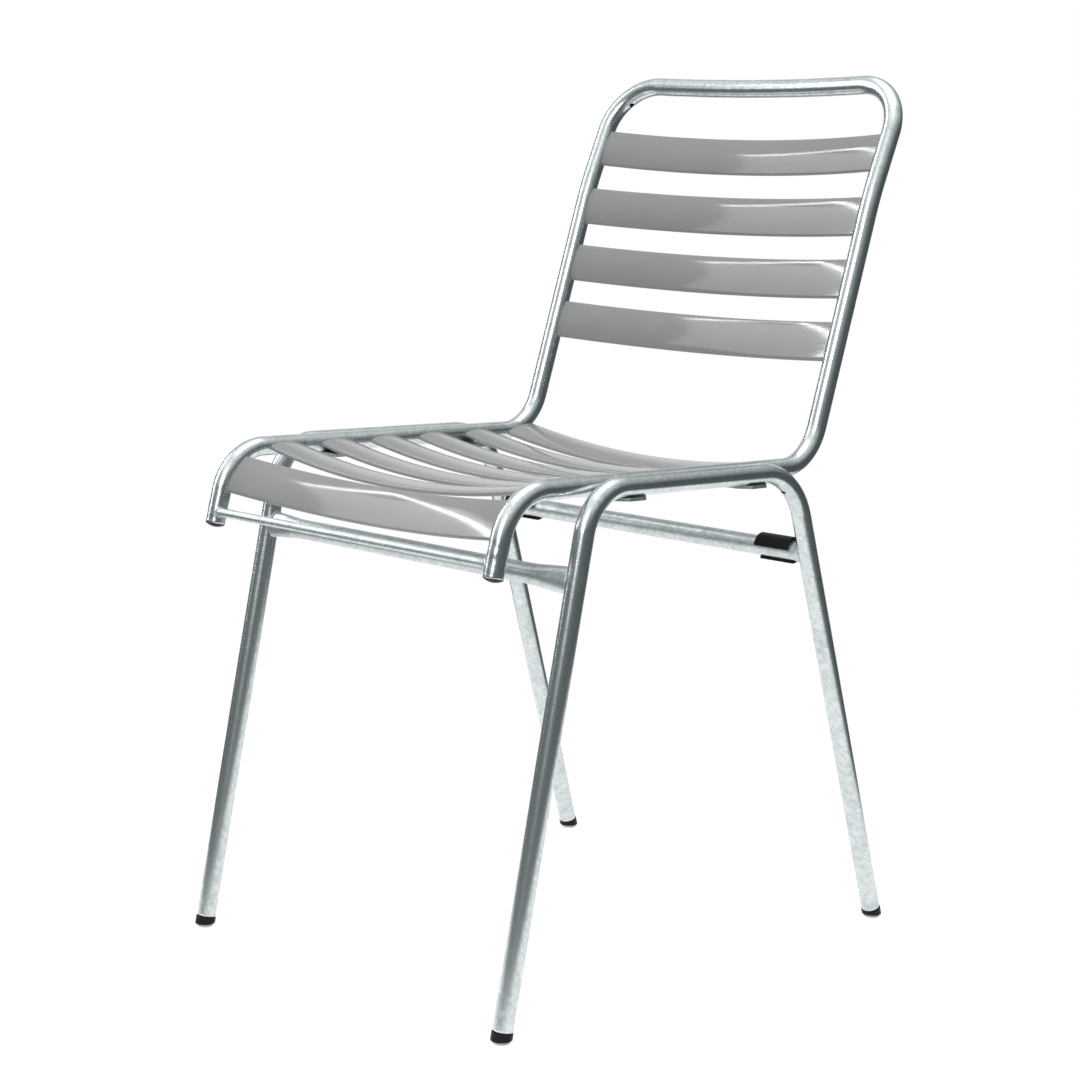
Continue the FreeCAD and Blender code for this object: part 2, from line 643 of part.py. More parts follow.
for item in doc.Objects:
    if "Invalid" in item.State or "Error" in item.State:
        raise RuntimeError("%s could not be worked out" % item.Label)
for feature in SUBPARTS:
    shape = feature.Shape
    if shape.isNull() or not shape.isValid() or len(shape.Solids) != 1:
        raise RuntimeError("%s is not one sound solid" % feature.Label)
whole = FreeCAD.BoundBox()
for feature in SUBPARTS:
    feature.Shape.exportStep("parts/%s.step" % feature.Label)
    whole.add(feature.Shape.BoundBox)
print("%d sub-parts, box %s" % (len(SUBPARTS), whole))
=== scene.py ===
import math

import bpy
import numpy as np
from mathutils import Matrix, Vector


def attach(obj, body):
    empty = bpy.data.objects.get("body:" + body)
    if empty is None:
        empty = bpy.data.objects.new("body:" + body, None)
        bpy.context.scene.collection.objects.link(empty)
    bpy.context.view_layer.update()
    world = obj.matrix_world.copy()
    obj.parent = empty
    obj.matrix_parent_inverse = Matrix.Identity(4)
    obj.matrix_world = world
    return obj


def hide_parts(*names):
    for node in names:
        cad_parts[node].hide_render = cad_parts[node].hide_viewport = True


# Stacking garden chair of galvanised tube with dished grey slats.
# The chair is worked out in millimetres and its meshes are written in metres. The floor, the lamps and
# the camera are in metres throughout. -Y is the front and +Z is up.

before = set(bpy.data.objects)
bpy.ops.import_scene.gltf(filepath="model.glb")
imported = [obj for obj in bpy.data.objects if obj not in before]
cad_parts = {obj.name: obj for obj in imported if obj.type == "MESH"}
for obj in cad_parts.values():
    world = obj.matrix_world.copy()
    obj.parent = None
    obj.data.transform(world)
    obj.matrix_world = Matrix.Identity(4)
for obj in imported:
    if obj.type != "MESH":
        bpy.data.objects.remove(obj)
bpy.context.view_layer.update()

# TUBE is the radius of the bent tubes. SKIN is the bare zinc, a little inside it to leave room for lumps.
TUBE = 9.0
SKIN = TUBE - 0.1
ROD = 4.0

# Distances across the chair from its middle to the axes of the seat tube and of the legs' top.
HALF = 180.8
LEG_X = 199.0


def unit(v):
    """v scaled to length one."""
    v = np.asarray(v, float)
    return v / np.linalg.norm(v)


def lean(degrees):
    """Direction that rises and leans back by an angle from upright."""
    a = math.radians(degrees)
    return np.array([0.0, math.sin(a), math.cos(a)])


# Side of the chair: slopes in degrees from upright, lengths along the tube, heights above the floor

FRONT_LEAN, LOWER_LEAN, UPPER_LEAN = 13.5, 17.6, 23.6
FRONT_LEG_LEAN, REAR_LEG_LEAN = 11.2, 18.2
RAIL_HEIGHT, ROD_HEIGHT, DROP_HEIGHT, LEG_END_HEIGHT = 454.8, 398.0, 386.6, 9.0
CROSS_HEIGHT = {"front": 378.0, "rear": 372.0}
LOWER_BACK, UPPER_BACK = 260.0, 115.5
RAIL_FRONT = np.array([0.0, -253.8, RAIL_HEIGHT])
RAIL_REAR = RAIL_FRONT + np.array([0.0, 389.6, -5.5])
RAIL = unit(RAIL_REAR - RAIL_FRONT)
RAIL_UP = np.array([0.0, -RAIL[2], RAIL[1]])
RAIL_SLOPE = math.degrees(math.atan2(RAIL[2], RAIL[1]))
DROP_END = RAIL_FRONT - lean(FRONT_LEAN) * (RAIL_HEIGHT - DROP_HEIGHT) / math.cos(math.radians(FRONT_LEAN))
BACK_BEND = RAIL_REAR + lean(LOWER_LEAN) * LOWER_BACK
BACK_TOP = BACK_BEND + lean(UPPER_LEAN) * UPPER_BACK
BEHIND = np.array([0.0, math.cos(math.radians(UPPER_LEAN)), -math.sin(math.radians(UPPER_LEAN))])
LEG_FRONT = RAIL_FRONT + RAIL * 77.0
LEG_REAR = RAIL_FRONT + RAIL * 345.0

# Radii of the bends, along the axis of the tube.
DROP_BEND, SEAT_BEND, WAIST_BEND, TOP_BEND = 49.0, 50.0, 350.0, 52.0
LEG_FRONT_BEND, LEG_REAR_BEND = 45.0, 64.0

# The top rail bows back by BOW in the middle, on an arc that reaches BOW_REACH to either side.
BOW, BOW_REACH = 10.6, 110.0
CORNER_BOW = BOW / (1 - BOW_REACH / (2 * HALF))


def at_side(point, x):
    """The same point of the side view at another distance across the chair."""
    return np.array([x, point[1], point[2]])


def leg_axis(end, height, side):
    """Point on the axis of a leg at a height."""
    top, angle, splay = LEG_REAR, REAR_LEG_LEAN, 6.0
    if end == "front":
        top, angle, splay = LEG_FRONT, -FRONT_LEG_LEAN, 0.0
    drop = top[2] - height
    back = drop * math.tan(math.radians(angle))
    return np.array([side * (LEG_X + splay * drop / top[2]), top[1] + back, height])


# Surfaces


def rotated(v, axis, angle):
    """Rows of v turned about a unit axis: v cos a + (axis x v) sin a + axis (axis . v) (1 - cos a)."""
    angle = np.atleast_1d(angle)[:, None]
    v = np.broadcast_to(v, (len(angle), 3))
    axis = np.broadcast_to(axis, (len(angle), 3))
    along = (v * axis).sum(1)[:, None] * axis
    return v * np.cos(angle) + np.cross(axis, v) * np.sin(angle) + along * (1 - np.cos(angle))


class BentRun:
    """Centre line of a bent tube: straight runs joined by arcs that touch both."""

    def __init__(self, corners, radii, side):
        corners = [np.asarray(c, float) for c in corners]
        heading = unit(corners[1] - corners[0])
        side = unit(side - heading * np.dot(side, heading))
        self.parts = []
        start, s = corners[0], 0.0
        for corner, after, radius in zip(corners[1:], corners[2:], radii):
            ahead = unit(after - corner)
            turn = math.acos(np.clip(np.dot(heading, ahead), -1, 1))
            run = radius * math.tan(turn / 2)
            arc_start = corner - heading * run
            length = np.linalg.norm(arc_start - start)
            self.parts.append((s, s + length, start, heading, side, None, 0.0))
            s += length
            axis = unit(np.cross(heading, ahead))
            self.parts.append((s, s + radius * turn, arc_start, heading, side, axis, radius))
            s += radius * turn
            side = rotated(side, axis, turn)[0]
            heading, start = ahead, corner + ahead * run
        length = np.linalg.norm(corners[-1] - start)
        self.parts.append((s, s + length, start, heading, side, None, 0.0))
        self.length = s + length

    def at(self, s):
        """Centre, heading, side and third direction at each distance along the run."""
        s = np.clip(np.atleast_1d(np.asarray(s, float)), 0, self.length)
        centre, heading, side = (np.zeros((len(s), 3)) for _ in range(3))
        for s0, s1, start, head, out, axis, radius in self.parts:
            here = (s >= s0 - 1e-9) & (s <= s1 + 1e-9)
            d = (s[here] - s0)[:, None]
            if axis is None:
                centre[here], heading[here], side[here] = start + head * d, head, out
            else:
                a = d / radius
                inward = np.cross(axis, head)
                centre[here] = start + radius * (head * np.sin(a) + inward * (1 - np.cos(a)))
                heading[here] = head * np.cos(a) + inward * np.sin(a)
                side[here] = rotated(out, axis, a[:, 0])
        return centre, heading, side, np.cross(heading, side)

    def stations(self, gap):
        """Distances along the run, at most the gap apart and closer in tight bends."""
        marks = []
        for s0, s1, _, _, _, axis, radius in self.parts:
            step = gap if axis is None else min(gap, radius / 22)
            marks.append(np.linspace(s0, s1, max(2, int(math.ceil((s1 - s0) / step)) + 1)))
        marks = np.unique(np.round(np.concatenate(marks), 4))
        keep = np.ones(len(marks), bool)
        keep[:-1] = np.diff(marks) >= gap * 0.2
        return marks[keep]


# A whole turn, as the ripples of the straight tubes and the weld beads count it.
TURN = 6.2832


def smooth_noise(seed, rows, columns, s, a):
    """Random heights on a lattice that wraps in both directions, eased from cell to cell."""
    lattice = np.random.RandomState(seed).uniform(-1, 1, (rows, columns))
    s, a = np.mod(s, rows), np.mod(a, columns)
    i, j = np.floor(s).astype(int), np.floor(a).astype(int)
    f, g = s - i, a - j
    f, g = f * f * (3 - 2 * f), g * g * (3 - 2 * g)
    i, j = i % rows, j % columns
    i1, j1 = (i + 1) % rows, (j + 1) % columns
    low = lattice[i, j] * (1 - g) + lattice[i, j1] * g
    high = lattice[i1, j] * (1 - g) + lattice[i1, j1] * g
    return low * (1 - f) + high * f


def grid_faces(rows, columns):
    """Quads of a grid of points, row after row, each row joined round into a ring."""
    i = np.arange(rows - 1)[:, None]
    j = np.arange(columns)[None, :]
    k = (j + 1) % columns
    quads = np.stack([i * columns + j, i * columns + k, (i + 1) * columns + k, (i + 1) * columns + j], -1)
    return quads.reshape(-1, 4)


def new_piece(name, points, faces, material, uv, replaces=()):
    """Smooth mesh from points in millimetres and lists of faces, riding on the chair."""
    mesh = bpy.data.meshes.new(name)
    mesh.from_pydata((np.asarray(points) * 0.001).tolist(), [], [list(map(int, f)) for f in faces])
    mesh.validate()
    mesh.update()
    mesh.polygons.foreach_set("use_smooth", np.full(len(mesh.polygons), True))
    corner = np.zeros(len(mesh.loops), int)
    mesh.loops.foreach_get("vertex_index", corner)
    layer = mesh.uv_layers.new(name="run")
    layer.data.foreach_set("uv", (np.asarray(uv)[corner] * 0.001).ravel())
    piece = bpy.data.objects.new(name, mesh)
    bpy.context.scene.collection.objects.link(piece)
    mesh.materials.append(material)
    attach(piece, "root")
    if replaces:
        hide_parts(*replaces)


def tube_surface(run, radius, gap, lumps, around=64, ellipse=None):
    """Circle carried along a run, with each end closed by triangles to its middle.

    The radius is the circle's plus the lumps at that distance and angle, and an ellipse widens it along
    the run's side and third directions. Returns points, faces and a flat map of distance along and round.
    """
    s = run.stations(gap)
    centre, _, side, third = run.at(s)
    angle = np.linspace(0, 2 * np.pi, around, endpoint=False)
    r = np.full((len(s), around), radius) + lumps(s[:, None], angle[None, :])
    wide, tall = (1.0, 1.0) if ellipse is None else ellipse(s)
    wide, tall = np.broadcast_to(wide, s.shape)[:, None], np.broadcast_to(tall, s.shape)[:, None]
    x, y = r * np.cos(angle) * wide, r * np.sin(angle) * tall
    points = centre[:, None, :] + x[..., None] * side[:, None, :] + y[..., None] * third[:, None, :]
    points = points.reshape(-1, 3)
    uv = np.stack([np.repeat(s, around), np.tile(angle * radius, len(s))], 1)
    faces = [tuple(f) for f in grid_faces(len(s), around)]
    count = len(points)
    points = np.vstack([points, centre[0], centre[-1]])
    uv = np.vstack([uv, [s[0], 0], [s[-1], 0]])
    j = np.arange(around)
    k = (j + 1) % around
    last = (len(s) - 1) * around
    faces += [(count, b, a) for a, b in zip(j, k)]
    faces += [(count + 1, last + a, last + b) for a, b in zip(j, k)]
    return points, faces, uv


# Materials


def node_maker(tree):
    """Empties a node tree and gives back a helper that adds a node with its values and links."""
    tree.nodes.clear()

    def node(kind, links=None, **settings):
        item = tree.nodes.new("ShaderNode" + kind)
        for key, value in settings.items():
            setattr(item, key, value)
        for key, value in (links or {}).items():
            if isinstance(value, bpy.types.NodeSocket):
                tree.links.new(value, item.inputs[key])
            else:
                item.inputs[key].default_value = value
        return item

    return node


def new_material(name):
    """Empty material and the helper that adds its nodes."""
    material = bpy.data.materials.new(name)
    material.use_nodes = True
    return material, node_maker(material.node_tree)


def ramp(node, value, stops):
    """Colour ramp from (place, colour) stops."""
    item = node("ValToRGB", {0: value})
    elements = item.color_ramp.elements
    while len(elements) < len(stops):
        elements.new(0.5)
    for element, (place, colour) in zip(elements, stops):
        element.position = place
        element.color = (*colour, 1.0)
    return item.outputs["Color"]


def galvanised_steel(name, dullest, shiniest, vents=()):
    """Zinc: cloudy pale grey patches, small frost flowers, slanting drag marks, and painted shade: near-black
    discs for the unlit insides of the vent holes.
    """
    material, node = new_material(name)
    where = node("TexCoord")
    clouds = node("TexNoise", {"Vector": where.outputs["Object"], "Scale": 55.0, "Detail": 5.0,
                               "Roughness": 0.6})
    frost = node("TexVoronoi", {"Vector": where.outputs["Object"], "Scale": 260.0}, feature="F1")
    turned = node("Mapping", {"Vector": where.outputs["UV"], "Rotation": (0, 0, 0.6)})
    slant = node("Mapping", {"Vector": turned.outputs["Vector"], "Scale": (90.0, 560.0, 1.0)})
    drag = node("TexNoise", {"Vector": slant.outputs["Vector"], "Scale": 1.0, "Detail": 3.0,
                             "Roughness": 0.7})
    blend = node("Mix", {0: 0.35, 2: clouds.outputs["Fac"], 3: frost.outputs["Color"]}, data_type="FLOAT")
    patches = node("Mix", {0: 0.5, 2: blend.outputs[0], 3: drag.outputs["Fac"]}, data_type="FLOAT")
    colour = ramp(node, patches.outputs[0], [(0.30, (0.44, 0.48, 0.49)), (0.50, (0.63, 0.675, 0.68)),
                                             (0.70, (0.80, 0.84, 0.845))])
    rough = node("MapRange", {0: patches.outputs[0], 1: 0.3, 2: 0.75, 3: dullest, 4: shiniest})
    height = node("Mix", {0: 0.5, 2: clouds.outputs["Fac"], 3: drag.outputs["Fac"]}, data_type="FLOAT")
    bump = node("Bump", {"Height": height.outputs[0], "Strength": 0.11, "Distance": 0.0004})
    shader = node("BsdfPrincipled", {"Base Color": colour, "Metallic": 1.0, "Roughness": rough.outputs[0],
                                     "Normal": bump.outputs["Normal"]})
    surface = shader.outputs[0]
    # Painted shade: each vent hole is not cut in the tube, and a near-black disc at its spot stands in for
    # the dark inside of the hole.
    painted_hole_shade = node("BsdfDiffuse", {"Color": (0.012, 0.012, 0.013, 1)})
    for spot, radius in vents:
        away = node("VectorMath", {0: where.outputs["Object"], 1: tuple(spot * 0.001)}, operation="DISTANCE")
        hole_shade_mask = node("MapRange", {0: away.outputs["Value"], 1: (radius - 0.3) * 0.001,
                                 2: (radius + 0.2) * 0.001, 3: 1.0, 4: 0.0})
        surface = node("MixShader", {0: hole_shade_mask.outputs[0], 1: surface, 2: painted_hole_shade.outputs[0]}).outputs[0]
    node("OutputMaterial", {"Surface": surface})
    return material


def slat_plastic():
    """Grey moulded slat: even colour, high gloss, faint lines along its length."""
    material, node = new_material("grey_slat")
    where = node("TexCoord")
    long_lines = node("Mapping", {"Vector": where.outputs["UV"], "Scale": (12.0, 900.0, 1.0)})
    lines = node("TexNoise", {"Vector": long_lines.outputs["Vector"], "Scale": 1.0, "Detail": 2.0})
    tone = node("TexNoise", {"Vector": where.outputs["Object"], "Scale": 30.0, "Detail": 3.0})
    colour = ramp(node, tone.outputs["Fac"], [(0.3, (0.26, 0.26, 0.258)), (0.7, (0.275, 0.275, 0.273))])
    rough = node("MapRange", {0: lines.outputs["Fac"], 1: 0.3, 2: 0.7, 3: 0.06, 4: 0.10})
    bump = node("Bump", {"Height": lines.outputs["Fac"], "Strength": 0.06, "Distance": 0.0002})
    shader = node("BsdfPrincipled", {"Base Color": colour, "Roughness": rough.outputs[0],
                                     "Normal": bump.outputs["Normal"], "IOR": 1.5})
    node("OutputMaterial", {"Surface": shader.outputs[0]})
    return material


def moulded_plastic(name, dark, light, roughness, rib=None):
    """Small moulded part: fine grain in colour and surface, and ribs side by side if their pitch is given."""
    material, node = new_material(name)
    where = node("TexCoord")
    grain = node("TexNoise", {"Vector": where.outputs["Object"], "Scale": 900.0, "Detail": 2.0})
    colour = ramp(node, grain.outputs["Fac"], [(0.3, dark), (0.7, light)])
    bump = node("Bump", {"Height": grain.outputs["Fac"], "Strength": 0.15, "Distance": 0.0002})
    if rib:
        split = node("SeparateXYZ", {0: where.outputs["Object"]})
        phase = node("Math", {0: split.outputs["X"], 1: 2 * math.pi / (rib * 0.001)}, operation="MULTIPLY")
        wave = node("Math", {0: phase.outputs[0]}, operation="SINE")
        bump = node("Bump", {"Height": wave.outputs[0], "Strength": 0.9, "Distance": 0.0005,
                             "Normal": bump.outputs["Normal"]})
    shader = node("BsdfPrincipled", {"Base Color": colour, "Roughness": roughness,
                                     "Specular IOR Level": 0.12, "Normal": bump.outputs["Normal"]})
    node("OutputMaterial", {"Surface": shader.outputs[0]})
    return material


def vent_spot(corner, before, after, radius, side):
    """Where the inner side of a bend meets the line from its middle to its centre.

    The bend is given for the left side, and side mirrors the spot.
    """
    back, ahead = unit(before - corner), unit(after - corner)
    half_turn = (math.pi - math.acos(np.dot(back, ahead))) / 2
    inward = unit(back + ahead)
    spot = corner + inward * (radius / math.cos(half_turn) - radius + TUBE)
    return np.array([side * spot[0], spot[1], spot[2]])


VENT_RADIUS = 2.5
TOP_MIDDLE = at_side(BACK_TOP, 0) + BEHIND * CORNER_BOW
top_bend = (at_side(BACK_TOP, HALF), at_side(BACK_BEND, HALF), TOP_MIDDLE, TOP_BEND)
leg_bend = (leg_axis("rear", LEG_REAR[2], 1), leg_axis("front", LEG_FRONT[2], 1),
            leg_axis("rear", LEG_END_HEIGHT, 1), LEG_REAR_BEND)
vent_holes = [(vent_spot(*bend, side), VENT_RADIUS) for bend in (top_bend, leg_bend) for side in (1, -1)]

zinc = galvanised_steel("hot_dip_zinc", 0.31, 0.17, vent_holes)
dull_zinc = galvanised_steel("dull_zinc", 0.50, 0.36)
slat_grey = slat_plastic()
black = moulded_plastic("black_moulding", (0.008, 0.008, 0.009), (0.016, 0.016, 0.018), 0.38)
ribbed = moulded_plastic("ribbed_black", (0.008, 0.008, 0.009), (0.016, 0.016, 0.018), 0.42, rib=2.9)
glide_grey = moulded_plastic("glide_disc", (0.42, 0.42, 0.41), (0.52, 0.52, 0.50), 0.45)


# Seat and back tube


def frame_corners():
    """Corners of the seat and back tube from the left drop over the top to the right drop, and its radii."""
    side = [DROP_END, RAIL_FRONT, RAIL_REAR, BACK_BEND, BACK_TOP]
    corners = [at_side(p, HALF) for p in side] + [TOP_MIDDLE] + [at_side(p, -HALF) for p in side[::-1]]
    radii = [DROP_BEND, SEAT_BEND, WAIST_BEND, TOP_BEND]
    bow_radius = BOW_REACH / math.tan(math.atan2(CORNER_BOW, HALF))
    return corners, radii + [bow_radius] + radii[::-1]


def end_lumps(length, reach, size):
    """Lumps of zinc towards both ends of a tube, which sink as exp(-(d / reach)^2) at a distance d.

    The rest of the tube is uneven by 0.02 at most.
    """
    def height(s, a):
        near = np.exp(-(np.minimum(s, length - s) / reach) ** 2)
        fine = smooth_noise(3, 400, 14, s / 3.1, a / (2 * np.pi) * 14)
        coarse = smooth_noise(4, 200, 7, s / 7.0, a / (2 * np.pi) * 7)
        everywhere = smooth_noise(5, 100, 6, s / 16.0, a / (2 * np.pi) * 6) * 0.02
        return near * size * (0.6 * fine + 0.5 * coarse - 0.4) + everywhere
    return height


frame_run = BentRun(*frame_corners(), side=np.array([-1.0, 0, 0]))
points, faces, uv = tube_surface(frame_run, SKIN, 2.0, end_lumps(frame_run.length, 42.0, 0.22))
new_piece("bent_seat_tube", points, faces, zinc, uv, ["seat_back_frame"])

# Leg frames

for word, side in (("left", 1), ("right", -1)):
    corners = [leg_axis("front", LEG_END_HEIGHT, side), at_side(LEG_FRONT, side * LEG_X),
               at_side(LEG_REAR, side * LEG_X), leg_axis("rear", LEG_END_HEIGHT, side)]
    run = BentRun(corners, [LEG_FRONT_BEND, LEG_REAR_BEND], side=np.array([-float(side), 0, 0]))
    points, faces, uv = tube_surface(run, SKIN, 2.5, end_lumps(run.length, 20.0, 0.12))
    new_piece(word + "_bent_leg", points, faces, zinc, uv, [word + "_leg_frame"])

# Cross tubes and tie rod

OVAL_THIN, OVAL_TALL = 6.0, 11.5
ROD_INSET = 3.0
LEG_LEAN = {"front": -FRONT_LEG_LEAN, "rear": REAR_LEG_LEAN}


def cross_tube(name, end, squeeze, replaces):
    """Tube between the legs whose circle turns to a tall oval over the last stretch at each end."""
    left, right = leg_axis(end, CROSS_HEIGHT[end], 1), leg_axis(end, CROSS_HEIGHT[end], -1)
    run = BentRun([left, right], [], side=np.cross(lean(-LEG_LEAN[end]), [1.0, 0, 0]))

    def oval(s):
        near = np.clip(1 - (np.minimum(s, run.length - s) - TUBE) / squeeze, 0, 1)
        near = near * near * (3 - 2 * near)
        return 1 + near * (OVAL_THIN / TUBE - 1), 1 + near * (OVAL_TALL / TUBE - 1)

    def ripples(s, a):
        return 0.03 * smooth_noise(8, 90, 6, s / 14.0, a / TURN * 6)

    points, faces, uv = tube_surface(run, TUBE, 1.5, ripples, ellipse=oval)
    new_piece(name, points, faces, dull_zinc, uv, [replaces])


def rod_ripples(s, a):
    """Faint unevenness of the rod's zinc."""
    return 0.04 * smooth_noise(9, 90, 4, s / 9.0, a / TURN * 4)


cross_tube("front_oval_ended_tube", "front", 45.0, "front_cross_tube")
cross_tube("rear_oval_ended_tube", "rear", 5.0, "rear_cross_tube")

drop_run = (RAIL_HEIGHT - ROD_HEIGHT) * math.tan(math.radians(FRONT_LEAN))
ROD_Y = RAIL_FRONT[1] - drop_run - ROD_INSET
rod_run = BentRun([(175.0, ROD_Y, ROD_HEIGHT), (-175.0, ROD_Y, ROD_HEIGHT)], [], side=np.array([0, 1.0, 0]))
points, faces, uv = tube_surface(rod_run, ROD, 2.0, rod_ripples, around=40)
new_piece("thin_front_rod", points, faces, dull_zinc, uv, ["front_tie_rod"])


# Welds


def weld_bead(name, ring, size, seed):
    """Uneven round bead along a closed ring: radius size * (1 + 0.35 * noise), square to the ring."""
    count, around = len(ring), 12
    ahead = np.roll(ring, -1, 0) - np.roll(ring, 1, 0)
    ahead /= np.linalg.norm(ahead, axis=1)[:, None]
    out = ring - ring.mean(0)
    out -= ahead * (out * ahead).sum(1)[:, None]
    out /= np.linalg.norm(out, axis=1)[:, None]
    third = np.cross(ahead, out)
    a = np.linspace(0, 2 * np.pi, around, endpoint=False)[None, :]
    place = np.arange(count)[:, None] * 18.0 / count
    r = size * (1 + 0.35 * smooth_noise(seed, 18, 4, place, a / TURN * 4))
    outward, sideways = (r * np.cos(a))[..., None], (r * np.sin(a))[..., None]
    points = ring[:, None] + out[:, None] * outward + third[:, None] * sideways
    i, j = np.meshgrid(np.arange(count), np.arange(around), indexing="ij")
    i1, j1 = (i + 1) % count, (j + 1) % around
    faces = np.stack([i * around + j, i * around + j1, i1 * around + j1, i1 * around + j], -1).reshape(-1, 4)
    uv = np.stack([np.repeat(np.arange(count) * 0.6, around), np.tile(a[0] * size, count)], 1)
    new_piece(name, points.reshape(-1, 3), faces, dull_zinc, uv)


# Each ring is the line where the oval or the rod meets the round tube: the tube's surface lies
# sqrt(TUBE^2 - d^2) inward from its axis, for a point that is d in front of or behind that axis.
turn = np.linspace(0, 2 * np.pi, 72, endpoint=False)
for word, side in (("left", 1), ("right", -1)):
    for end in ("front", "rear"):
        centre = leg_axis(end, CROSS_HEIGHT[end], side)
        tall = lean(-LEG_LEAN[end])
        thin = np.cross(tall, [1.0, 0, 0])
        across = np.sqrt(TUBE ** 2 - (OVAL_THIN * np.sin(turn)) ** 2)
        oval = np.outer(OVAL_TALL * np.cos(turn), tall) + np.outer(OVAL_THIN * np.sin(turn), thin)
        weld_bead("%s_%s_cross_weld" % (word, end), centre + oval - np.outer(across, [side, 0, 0]), 1.2,
                  11 + side)
    across = np.sqrt(TUBE ** 2 - (ROD * np.cos(turn) - ROD_INSET) ** 2)
    ring = np.stack([side * (HALF - across), ROD_Y + ROD * np.cos(turn), ROD_HEIGHT + ROD * np.sin(turn)], 1)
    weld_bead(word + "_rod_weld", ring, 1.0, 21 + side)

# Slats

SLAT_WIDTH, SLAT_THICKNESS, SLAT_EDGE = 38.0, 7.0, 2.5
FIRST_PLACE, SEAT_PITCH = 59.4, 62.21
BACK_PLACES = (304.2, 239.9, 179.15, 118.4)

# A slat's arc sinks by SAG from its ends to its middle. On straight tube its ends lie RISE to the
# sitter's side of the tube's axis, and it reaches PAST_AXIS beyond that axis.
SAG, RISE = 19.0, 1.9
PAST_AXIS = 2.0


def slat_profile():
    """Outline of a slat's section as (along, out) pairs, flat below and crowned above.

    Round edges of radius r about (c, r - t) run smoothly into a crown of radius R, where the two circles
    touch: c^2 + (R - 2t + r)^2 = (R - r)^2 with t for half the thickness.
    """
    thick, r = SLAT_THICKNESS, SLAT_EDGE
    c = SLAT_WIDTH / 2 - r
    crown = (c * c + thick * thick - 2 * thick * r) / (2 * (thick - 2 * r))
    meet = math.asin(c / (crown - r))
    turn = np.linspace(-np.pi / 2, np.pi / 2 - meet, 15)
    right = np.stack([c + r * np.cos(turn), r - thick / 2 + r * np.sin(turn)], 1)
    over = np.linspace(meet, -meet, 41)[1:-1]
    upper = np.stack([crown * np.sin(over), thick / 2 - crown + crown * np.cos(over)], 1)
    left = right[::-1] * [-1, 1]
    lower = np.stack([np.linspace(-c, c, 17)[1:-1], np.full(15, -thick / 2)], 1)
    return np.vstack([right, upper, left, lower])


PROFILE = slat_profile()


def slat(name, spot, slope, node):
    """Section carried along a shallow arc across the chair, hollow on the sitter's side."""
    radius = (HALF ** 2 + SAG ** 2) / (2 * SAG)
    reach = math.asin((HALF + PAST_AXIS) / radius)
    bend = np.linspace(-reach, reach, 121)
    along = np.array([0, math.cos(math.radians(slope)), math.sin(math.radians(slope))])
    out = np.array([0, -math.sin(math.radians(slope)), math.cos(math.radians(slope))])
    # A point at height h stands radius - h from the arc's centre, which is radius - SAG above the ends.
    arm = radius - PROFILE[None, :, 1]
    x = arm * np.sin(bend)[:, None]
    h = radius - SAG - arm * np.cos(bend)[:, None]
    points = (spot + x[..., None] * np.array([1.0, 0, 0]) + PROFILE[None, :, :1] * along + h[..., None] * out)
    count = len(PROFILE)
    faces = [tuple(f) for f in grid_faces(len(bend), count)]
    faces += [tuple(range(count))[::-1], tuple(range((len(bend) - 1) * count, len(bend) * count))]
    girth = np.concatenate([[0], np.cumsum(np.linalg.norm(np.diff(PROFILE, axis=0), axis=1))])
    uv = np.stack([np.repeat(bend * radius, count), np.tile(girth, len(bend))], 1)
    new_piece(name, points.reshape(-1, 3), faces, slat_grey, uv, [node])


def bend_spot(corner, towards, radius, angle, slope, inset):
    """Point inside a seat bend where the tube has the slope; towards is -1 at the front, 1 at the rear."""
    turn = math.radians(slope - RAIL_SLOPE)
    run = radius * math.tan(math.radians(90 - angle - RAIL_SLOPE) / 2)
    centre = corner - RAIL * (towards * run) + RAIL_UP * (towards * radius)
    arm = RAIL * math.sin(turn) - RAIL_UP * math.cos(turn)
    return centre + arm * (towards * (radius - inset))


slat("front_edge_slat", bend_spot(RAIL_FRONT, -1, DROP_BEND, FRONT_LEAN, 54.0, 1.8), 54.0, "seat_slat_1")
for index in range(5):
    spot = RAIL_FRONT + RAIL * (FIRST_PLACE + SEAT_PITCH * index) + RAIL_UP * RISE
    slat("dished_seat_slat_%d" % (index + 2), spot, RAIL_SLOPE, "seat_slat_%d" % (index + 2))
slat("rear_edge_slat", bend_spot(RAIL_REAR, 1, SEAT_BEND, LOWER_LEAN, 18.0, 1.0), 9.0, "seat_slat_7")
for index, along in enumerate(BACK_PLACES):
    angle, spot = LOWER_LEAN, RAIL_REAR + lean(LOWER_LEAN) * along
    if along > LOWER_BACK:
        angle, spot = UPPER_LEAN, BACK_BEND + lean(UPPER_LEAN) * (along - LOWER_BACK)
    forward = -lean(angle + 90)
    slat("dished_back_slat_%d" % (index + 1), spot + forward * RISE, 90 - angle, "back_slat_%d" % (index + 1))

# Guards, collars, plugs, glides and tabs keep their solids and get a finish

for name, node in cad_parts.items():
    if "guard" in name:
        finish = ribbed
    elif "collar" in name or "plug" in name:
        finish = black
    elif "glide" in name:
        finish = glide_grey
    elif "tab" in name:
        finish = dull_zinc
    else:
        continue
    node.data.materials.clear()
    node.data.materials.append(finish)

# Floor, light and camera


